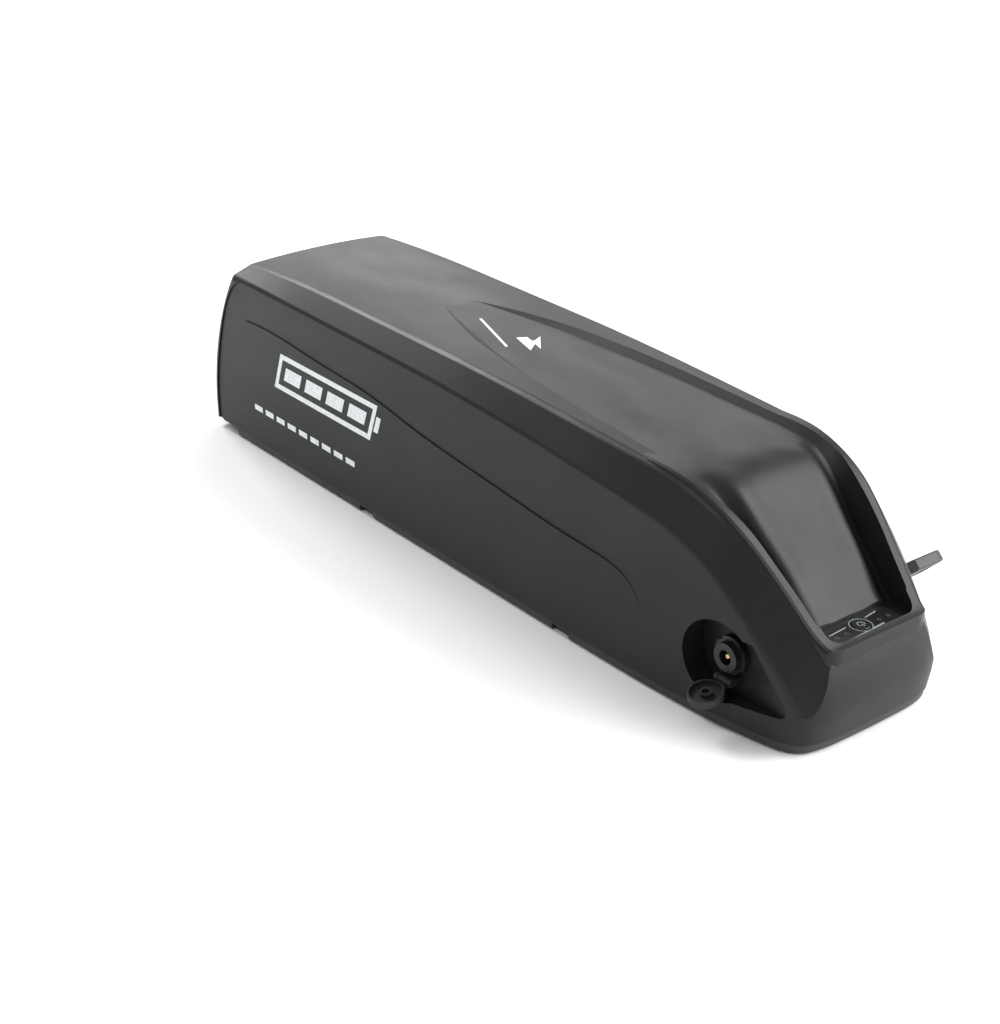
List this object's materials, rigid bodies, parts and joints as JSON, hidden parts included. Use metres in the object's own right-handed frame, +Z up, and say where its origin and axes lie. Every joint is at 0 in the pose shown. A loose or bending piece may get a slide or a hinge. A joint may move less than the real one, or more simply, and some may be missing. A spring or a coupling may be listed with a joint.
{
  "type": "e-bike battery pack",
  "caption": "Long black down-tube battery pack with a sloping nose, a recessed handle tray with a charge display, a capped charging port in one side and a keyed lock in the other.",
  "frame": {"origin": "on the underside of the pack, in the middle of the rail slot and half way along the casing", "axes": "+X along the pack to its sloping handle end, -Y out of the charging port side, +Y out of the lock side, +Z up from the rail side to the crown"},
  "size_m": [0.3708, 0.1217, 0.0881],
  "materials": {
    "casing_black": "fine grained satin",
    "seal_rubber": "matt",
    "fastener_steel": "plain",
    "holder_plastic": "matt",
    "cell_can": "sleeved",
    "nickel_strip": "plain",
    "fish_paper": "matt",
    "foam": "matt",
    "board_green": "solder mask",
    "chip_black": "matt",
    "heat_aluminium": "extruded",
    "connector_white": "matt",
    "harness_grey": "matt",
    "terminal_plastic": "matt",
    "contact_brass": "plain",
    "fuse_blue": "glossy",
    "lead_red": "satin",
    "lead_black": "satin",
    "port_black": "satin",
    "cap_rubber": "matt",
    "lock_metal": "satin",
    "key_steel": "plain",
    "key_black": "grained",
    "display_gloss": "glossy film",
    "led_lens": "clear",
    "button_film": "glossy film"
  },
  "bodies": {
    "casing": {"balance_connector": "connector_white", "balance_harness": "harness_grey", "balance_lead": "harness_grey", "bms_board": "board_green", "bms_chips": "chip_black", "bms_heat_spreader": "heat_aluminium", "bms_mosfets": "chip_black", "board_screws": "fastener_steel", "board_spacers": "fastener_steel", "bolt_guide": "terminal_plastic", "button_switch": "terminal_plastic", "cap_anchor": "cap_rubber", "cell_group_01": "cell_can", "cell_group_02": "cell_can", "cell_group_03": "cell_can", "cell_group_04": "cell_can", "cell_group_05": "cell_can", "cell_group_06": "cell_can", "cell_group_07": "cell_can", "cell_group_08": "cell_can", "cell_group_09": "cell_can", "cell_group_10": "cell_can", "cell_group_11": "cell_can", "cell_group_12": "cell_can", "cell_group_13": "cell_can", "cell_holder_left": "holder_plastic", "cell_holder_right": "holder_plastic", "charge_lead": "lead_black", "charge_socket": "port_black", "charge_socket_nut": "port_black", "charge_socket_pin": "contact_brass", "contact_blades": "contact_brass", "contact_housing": "terminal_plastic", "cover_gasket": "seal_rubber", "cover_screws": "fastener_steel", "display_board": "board_green", "display_cable": "harness_grey", "display_leds": "led_lens", "display_overlay": "display_gloss", "display_spacers": "terminal_plastic", "foam_pads": "foam", "insulation_left": "fish_paper", "insulation_right": "fish_paper", "lead_negative": "lead_black", "lead_positive": "lead_red", "lock_housing": "lock_metal", "lock_nut": "fastener_steel", "lower_cover": "casing_black", "nickel_strips_left": "nickel_strip", "nickel_strips_right": "nickel_strip", "pack_fuse": "fuse_blue", "upper_shell": "casing_black"},
    "lock_cylinder": {"lock_cylinder": "lock_metal"},
    "lock_bolt": {"lock_bolt": "fastener_steel"},
    "key": {"key_blade": "key_steel", "key_bow": "key_black"},
    "charge_cap": {"charge_cap": "cap_rubber"},
    "display_button": {"display_button": "button_film"}
  },
  "joints": [
    {"name": "lock_turn", "type": "hinge", "parent": "casing", "child": "lock_cylinder", "pos_m": [0.149, 0.03, 0.03], "axis": [0, -1, 0], "range_deg": [0, 90]},
    {"name": "bolt_lift", "type": "slide", "parent": "casing", "child": "lock_bolt", "axis": [0, 0, 1], "range_m": [0, 0.006]},
    {"name": "key_slide", "type": "slide", "parent": "lock_cylinder", "child": "key", "axis": [0, 1, 0], "range_m": [0, 0.028]},
    {"name": "cap_swing", "type": "hinge", "parent": "casing", "child": "charge_cap", "pos_m": [0.147, -0.0374, 0.016], "axis": [1, 0, 0], "range_deg": [-102, 10]},
    {"name": "button_press", "type": "slide", "parent": "casing", "child": "display_button", "axis": [0, 0, -1], "range_m": [0, 0.0005], "stiffness_N_per_m": 1500, "springref_m": -0.0005}
  ],
  "couplings": [
    {"joint": "lock_turn", "follows": "bolt_lift", "rad_per_m": 261.79}
  ]
}
